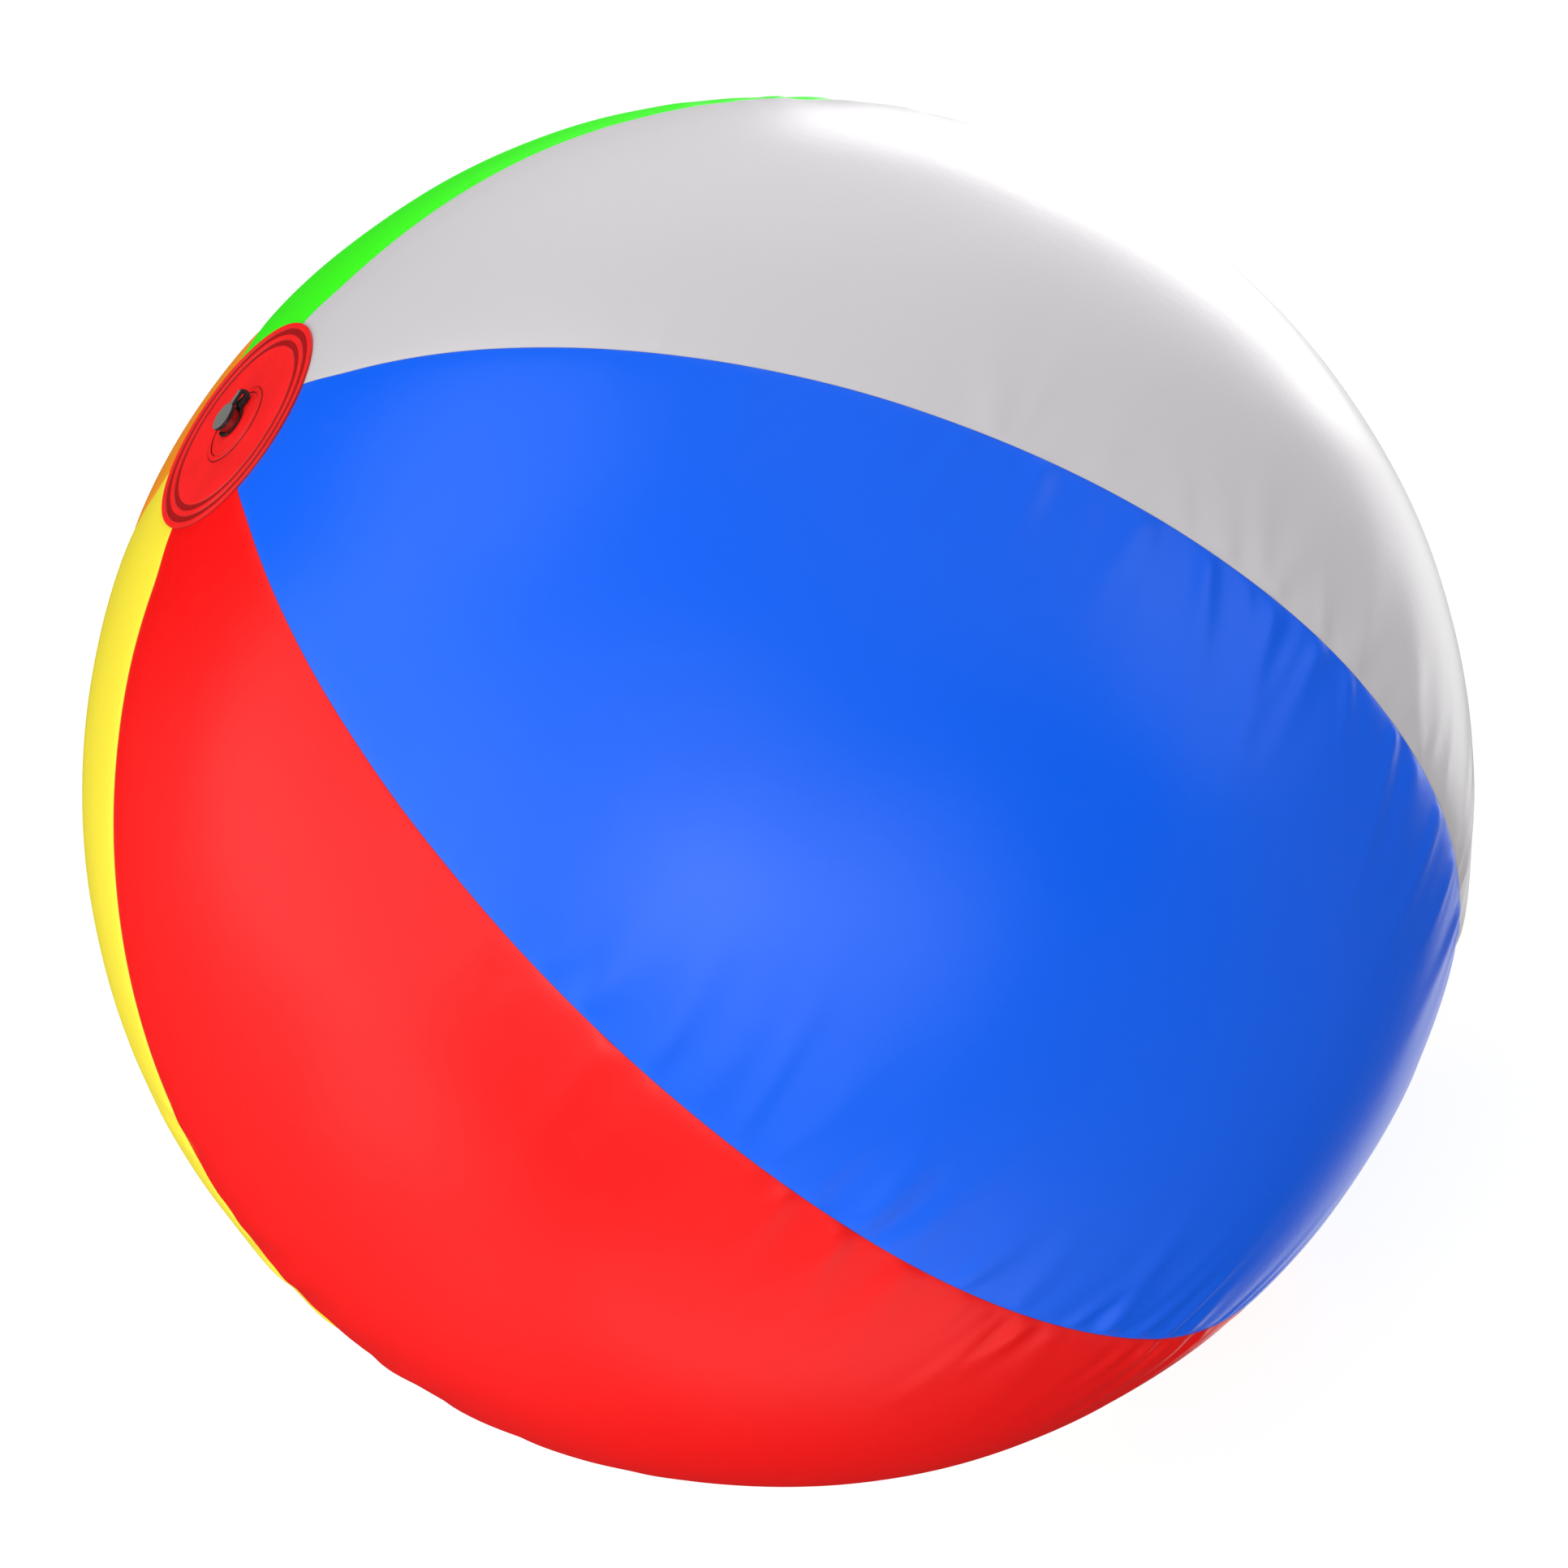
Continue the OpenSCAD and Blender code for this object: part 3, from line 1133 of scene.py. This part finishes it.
@dataclass
class StopperSet:
    """The dark moulding: cap and plug, strap, and the collar that keeps it on the stem."""

    frame: BallFrame
    plug_radius: float = 3.15 * MM
    strap_thicknesses: tuple[float, float, float] = (1.35 * MM, 1.63 * MM, 1.9 * MM)
    loop_radius: float = 2.25 * MM
    leg_lean: Point = (-0.25, 0.97)
    thinnest: float = 0.22
    steps: int = 96
    pieces: dict[str, bpy.types.Object] = field(default_factory=dict)

    def build(self) -> None:
        """Build the stopper, the strap and the collar."""
        self.pieces["stopper_moulding"] = self._stopper()
        self.pieces["strap_band"] = self._strap()
        self.pieces["collar_ring"] = self._collar()

    def _stopper(self) -> bpy.types.Object:
        """A low round cap over a tapered plug with a rounded nose."""
        frame = self.frame
        top, bottom = frame.cap_top, frame.cap_bottom
        corners = [
            (0.0, top - 0.12 * MM),
            (frame.cap_radius - 1.3 * MM, top - 0.12 * MM),
            (frame.cap_radius - 0.7 * MM, top),
            (frame.cap_radius, top),
            (frame.cap_radius, bottom),
            (self.plug_radius, bottom),
            (self.plug_radius, bottom - 2 * MM),
            (2.5 * MM, frame.plug_tip + 0.6 * MM),
            (1.7 * MM, frame.plug_tip),
            (0.0, frame.plug_tip),
        ]
        radii = [0, 0.4 * MM, 0.3 * MM, 0.4 * MM, 0.25 * MM, 0.1 * MM, 0.5 * MM, 0.5 * MM, 0.5 * MM, 0]
        piece = turned("stopper_moulding", rounded(corners, radii), self.steps, closed=False)
        smooth(piece, SMOOTH_BELOW)
        return piece

    def strap_path(self, count: int) -> tuple[np.ndarray, np.ndarray]:
        """The strap's middle line in the XZ plane: out from the cap, round a drop-shaped loop and back.

        Args:
            count: How many points.

        Returns:
            One row of x and z for each point, from the cap to the collar, and the strap's thickness there.
        """
        frame = self.frame
        leg, turn_part, root = self.strap_thicknesses
        middle = self.loop_radius - turn_part / 2
        centre = Vector((frame.strap_reach - self.loop_radius, frame.strap_top - self.loop_radius))
        start = Vector((frame.cap_radius - 0.9 * MM, frame.strap_top - leg / 2))
        back, rise = self.leg_lean
        upper_on = centre + Vector((back, rise)) * middle
        lower_on = centre + Vector((back, -rise)) * middle
        neck = Vector((7.0 * MM, frame.collar_top + 0.15 * MM))
        collar_middle = (frame.collar_bottom + frame.collar_top) / 2
        end = Vector((frame.collar_radius - 0.7 * MM, collar_middle + 0.3 * MM))
        legs = count // 4
        arc = count - 2 * legs
        points = [start.lerp(upper_on, step / legs) for step in range(legs)]
        first = math.atan2(rise, back)
        for step in range(arc):
            angle = first * (1 - 2 * step / (arc - 1))
            points.append(centre + Vector((math.cos(angle), math.sin(angle))) * middle)
        for step in range(1, legs + 1):
            t = step / legs
            points.append(lower_on * (1 - t) ** 2 + neck * 2 * t * (1 - t) + end * t * t)
        places = [0.0, 0.25, 0.5, 0.75, 0.92, 1.0]
        thickness = np.interp(np.linspace(0, 1, count), places, [leg, leg, turn_part, root, root, leg])
        return np.array(points), thickness

    def _strap(self) -> bpy.types.Object:
        """A grid laid along the strap's path, then thickened and given soft edges."""
        rows, columns = 8, 72
        deselect_all()
        bpy.ops.mesh.primitive_grid_add(x_subdivisions=columns, y_subdivisions=rows, size=2.0)
        piece = name_piece(bpy.context.object, "strap_band")
        grid = positions(piece)
        path, thickness = self.strap_path(columns + 1)
        stations = np.rint((grid[:, 0] + 1) / 2 * columns).astype(int)
        width = np.interp(stations / columns, [0.0, 0.2, 0.7, 0.9, 1.0], [1.05, 0.9, 0.9, 1.15, 1.3])
        across = grid[:, 1] / 2 * width * self.frame.strap_width
        move_to(piece, np.stack([path[stations, 0], across, path[stations, 1]], axis=1))
        thickest = float(thickness.max())
        swell = piece.vertex_groups.new(name="swell")
        for station in range(columns + 1):
            members = np.flatnonzero(stations == station).tolist()
            swell.add(members, float(thickness[station] / thickest), "REPLACE")
        apply_modifier(
            piece, "SOLIDIFY", thickness=thickest, offset=0.0, use_even_offset=True, vertex_group="swell"
        )
        apply_modifier(
            piece, "BEVEL", width=0.22 * MM, segments=3, limit_method="ANGLE", angle_limit=math.radians(50)
        )
        piece.vertex_groups.clear()
        close_and_face_out(piece, 1e-7)
        smooth(piece, SMOOTH_BELOW)
        return piece

    def _collar(self) -> bpy.types.Object:
        """A rounded ring that turns on the stem, thinned where it passes under the cap's sides."""
        frame = self.frame
        inner = frame.stem_radius + 0.1 * MM
        corners = [
            (inner, (frame.collar_bottom + frame.collar_top) / 2),
            (inner, frame.collar_bottom),
            (frame.collar_radius, frame.collar_bottom),
            (frame.collar_radius, frame.collar_top),
            (inner, frame.collar_top),
            (inner, (frame.collar_bottom + frame.collar_top) / 2 + 0.1 * MM),
        ]
        radii = [0, 0.2 * MM, 0.4 * MM, 0.4 * MM, 0.2 * MM, 0]
        piece = turned("collar_ring", rounded(corners, radii), self.steps)
        points = positions(piece)
        ends = ease(np.abs(points[:, 0]) / frame.collar_radius, 0.55, 0.95)
        share = self.thinnest + (1 - self.thinnest) * ends
        points[:, 2] = frame.collar_bottom + (points[:, 2] - frame.collar_bottom) * share
        move_to(piece, points)
        smooth(piece, SMOOTH_BELOW)
        return piece

    def dress(self, finish: MouldedVinyl) -> None:
        """Give the parts their vinyl, hang the stopper moulding on the stopper and the collar ring on the
        collar, and fix the strap where it stands.
        """
        vinyl = finish.material()
        for piece in self.pieces.values():
            piece.data.materials.append(vinyl)
        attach(self.pieces["stopper_moulding"], Body.STOPPER.value)
        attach(self.pieces["collar_ring"], Body.COLLAR.value)
        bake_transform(self.pieces["strap_band"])
        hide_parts("stopper")
        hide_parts("tether_strap")
        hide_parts("tether_collar")


@dataclass
class CheckValve:
    """The milky insert and its flap inside the stem, which keep their own frame shapes."""

    nodes: dict[str, bpy.types.Object]

    def dress(self, finish: MouldedVinyl) -> None:
        """Give both parts their milky vinyl."""
        milky = finish.material()
        for name in ("check_insert", "check_flap"):
            mesh = self.nodes[name].data
            mesh.materials.clear()
            mesh.materials.append(milky)


# ---------------------------------------------------------------- the studio


@dataclass(frozen=True)
class Viewpoint:
    """Where the camera stands: round the ball, above it, and rolled about its own line of sight."""

    azimuth: float = -5.38
    elevation: float = 24.88
    roll: float = -55.88
    distance: float = 1.9219
    field_of_view: float = 17.152
    shift_x: float = 0.0039
    shift_y: float = 0.0052
    sensor: float = 36.0

    def axes(self) -> Matrix:
        """The camera's right, up and back directions, as a matrix's columns."""
        turn, lift = math.radians(self.azimuth), math.radians(self.elevation)
        back = Vector((math.sin(turn) * math.cos(lift), -math.cos(turn) * math.cos(lift), math.sin(lift)))
        right = Vector((0, 0, 1)).cross(back).normalized()
        up = back.cross(right)
        level = Matrix((right, up, back)).transposed()
        return level @ Matrix.Rotation(math.radians(self.roll), 3, "Z")

    def add_camera(self) -> None:
        """Add the camera and make it the scene's."""
        camera = bpy.data.cameras.new("main_camera")
        camera.sensor_width = self.sensor
        camera.lens = self.sensor / 2 / math.tan(math.radians(self.field_of_view) / 2)
        camera.shift_x, camera.shift_y = self.shift_x, self.shift_y
        camera.clip_start, camera.clip_end = 0.01, 100.0
        holder = bpy.data.objects.new("main_camera", camera)
        axes = self.axes()
        holder.matrix_world = Matrix.Translation(axes.col[2] * self.distance) @ axes.to_4x4()
        bpy.context.scene.collection.objects.link(holder)
        bpy.context.scene.camera = holder


class LampUse(Enum):
    """What a lamp does to the film: shade its colour, or shine in its gloss."""

    SHADE = (True, False)
    SHINE = (False, True)


@dataclass(frozen=True)
class SoftBox:
    """A round studio lamp that faces the ball, placed right, up and back of it as the camera sees it."""

    name: str
    toward: tuple[float, float, float]
    spread: float
    radiance: float
    use: LampUse
    distance: float = 3.0

    def add(self, axes: Matrix) -> None:
        """Add the lamp.

        Args:
            axes: The camera's right, up and back directions.
        """
        lamp = bpy.data.lights.new(self.name, "AREA")
        lamp.shape = "DISK"
        lamp.size = 2 * self.distance * math.tan(math.radians(self.spread))
        lamp.energy = self.radiance * (math.pi * lamp.size / 2) ** 2
        holder = bpy.data.objects.new(self.name, lamp)
        spot = (axes @ Vector(self.toward)).normalized() * self.distance
        holder.matrix_world = Matrix.Translation(spot) @ spot.to_track_quat("Z", "Y").to_matrix().to_4x4()
        holder.visible_camera = False
        holder.visible_diffuse, holder.visible_glossy = self.use.value
        bpy.context.scene.collection.objects.link(holder)


# Each lamp's name, direction, spread in degrees and radiance
SHADES = (
    ("front", (-0.3, -0.3, 0.9), 40.0, 1.45),
    ("front_left", (-0.7, 0.1, 0.7), 40.0, 0.55),
    ("above", (0.4, 0.8, 0.4), 40.0, 1.1),
    ("left", (-0.9, 0.4, 0.2), 40.0, 0.5),
    ("right", (0.8, -0.6, 0.0), 40.0, 0.7),
    ("below", (0.0, -1.0, -0.1), 40.0, 0.6),
    ("low_left", (-0.8, -0.5, -0.3), 40.0, 1.6),
    ("rim_right", (0.8, 0.3, -0.6), 40.0, 0.45),
    ("rim_top", (0.1, 0.8, -0.6), 28.0, 4.5),
)
SHINES = (
    ("front", (-0.2, -0.26, 0.95), 13.0, 3.8),
    ("front_right", (0.3, -0.3, 0.9), 16.0, 1.8),
    ("front_low", (0.0, -0.6, 0.8), 12.0, 1.1),
    ("left", (-0.93, 0.0, 0.35), 30.0, 1.2),
    ("low_left", (-0.77, -0.6, 0.15), 12.0, 0.9),
    ("high_left", (-0.6, 0.7, 0.3), 20.0, 1.2),
    ("below", (0.05, -1.0, 0.1), 26.0, 0.75),
    ("top", (0.2, 0.65, -0.75), 11.0, 4.0),
    ("top_right", (0.4, 0.55, -0.73), 14.0, 5.0),
    ("right", (0.9, 0.3, 0.3), 18.0, 1.4),
    ("rim_right", (0.6, 0.2, -0.78), 13.0, 2.2),
    ("rim_low", (0.4, -0.2, -0.9), 12.0, 1.2),
)


@dataclass
class Studio:
    """A plain pale floor and soft light."""

    frame: BallFrame
    view: Viewpoint = field(default_factory=Viewpoint)
    ambient: float = 0.02

    def build(self) -> None:
        """Add the camera, the lamps, the surroundings and the floor."""
        self.view.add_camera()
        for use, rows in ((LampUse.SHADE, SHADES), (LampUse.SHINE, SHINES)):
            for name, toward, spread, radiance in rows:
                lamp = SoftBox(f"{use.name.lower()}_{name}", toward, spread, radiance, use)
                lamp.add(self.view.axes())
        self._surroundings()
        self._floor()
        bpy.context.scene.view_settings.view_transform = "Standard"

    def _surroundings(self) -> None:
        """A white backdrop to the camera and a dim even room to everything else."""
        world = bpy.data.worlds.new("pale_room")
        world.use_nodes = True
        tree = world.node_tree
        tree.nodes.clear()
        output = tree.nodes.new("ShaderNodeOutputWorld")
        seen = tree.nodes.new("ShaderNodeLightPath")
        mix = tree.nodes.new("ShaderNodeMixShader")
        room = tree.nodes.new("ShaderNodeBackground")
        room.inputs["Color"].default_value = (1.0, 1.0, 1.0, 1.0)
        room.inputs["Strength"].default_value = self.ambient
        backdrop = tree.nodes.new("ShaderNodeBackground")
        backdrop.inputs["Color"].default_value = (1.0, 1.0, 1.0, 1.0)
        tree.links.new(seen.outputs["Is Camera Ray"], mix.inputs[0])
        tree.links.new(room.outputs[0], mix.inputs[1])
        tree.links.new(backdrop.outputs[0], mix.inputs[2])
        tree.links.new(mix.outputs[0], output.inputs["Surface"])
        bpy.context.scene.world = world

    def _floor(self) -> None:
        """A wide pale sheet that the ball stands on; it takes the ball's soft shadow and casts none."""
        deselect_all()
        bpy.ops.mesh.primitive_plane_add(size=12, location=(0, 0, -self.frame.disc_top - 0.2 * MM))
        floor = name_piece(bpy.context.object, "studio_floor")
        graph = Graph("pale_floor")
        tone = graph.noise(graph.place(), 3.0, 2.0)
        paint = graph.mix(tone, (0.1, 0.1, 0.1), (0.09, 0.09, 0.09))
        glow = {"Emission_Color": (1.0, 1.0, 1.0), "Emission_Strength": 0.93}
        floor.data.materials.append(graph.dress(Base_Color=paint, Roughness=0.9, **glow))
        floor.visible_glossy = False
        floor.visible_diffuse = False
        floor.visible_shadow = False


def main() -> None:
    """Build every sub-assembly in order."""
    logging.basicConfig(level=logging.INFO, format="%(name)s: %(message)s")
    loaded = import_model()
    frame = BallFrame.read(loaded)
    Studio(frame).build()
    for panel in BallSkin(frame).build():
        log.info("%s: %d faces", panel.name, len(panel.piece.data.polygons))
    disc_vinyl = DiscVinyl(
        name="disc_vinyl",
        # Partly painted highlight: the disc's red is lighter than the red film, standing in for the light
        # the disc catches.
        colour=linear(255, 34, 35),
        shade_and_tone_colour=linear(140, 0, 0),
        grooves=(OUTER_GROOVE, INNER_GROOVE),
        edge=frame.disc_radius,
        flange=frame.lip_radius,
    )
    for name, node, hole, valve_end in (
        ("valve_end_weld_disc", "valve_end_disc", frame.well_radius + NECK_WALL, True),
        ("plain_end_weld_disc", "plain_end_disc", 0.0, False),
    ):
        disc = EndDisc(frame, name, node, hole, valve_end)
        disc.build()
        disc.dress(disc_vinyl)
        log.info("%s: %d faces", disc.name, len(disc.piece.data.polygons))
    valve = ValveBody(frame)
    valve.build()
    # Painted light and shade on the valve: side faces take the dark red, faces that look up take the bright
    # red.
    valve.dress(MouldedVinyl("valve_vinyl", linear(135, 1, 1), linear(252, 26, 26)))
    stopper = StopperSet(frame)
    stopper.build()
    # Painted light and shade on the stopper set: side faces take the near black, and faces that look up
    # above the strap's top take the grey.
    painted_top_from = frame.strap_top - 0.5 * MM
    stopper.dress(MouldedVinyl("stopper_vinyl", linear(26, 26, 27), linear(118, 118, 115), 0.5, painted_top_from))
    for name, piece in {**valve.pieces, **stopper.pieces}.items():
        log.info("%s: %d faces", name, len(piece.data.polygons))
    # Painted shade: faces that look up take the slightly darker milky colour.
    milky = MouldedVinyl("milky_vinyl", linear(226, 230, 232), linear(205, 210, 212))
    CheckValve(loaded["nodes"]).dress(milky)


if __name__ == "__main__":
    main()
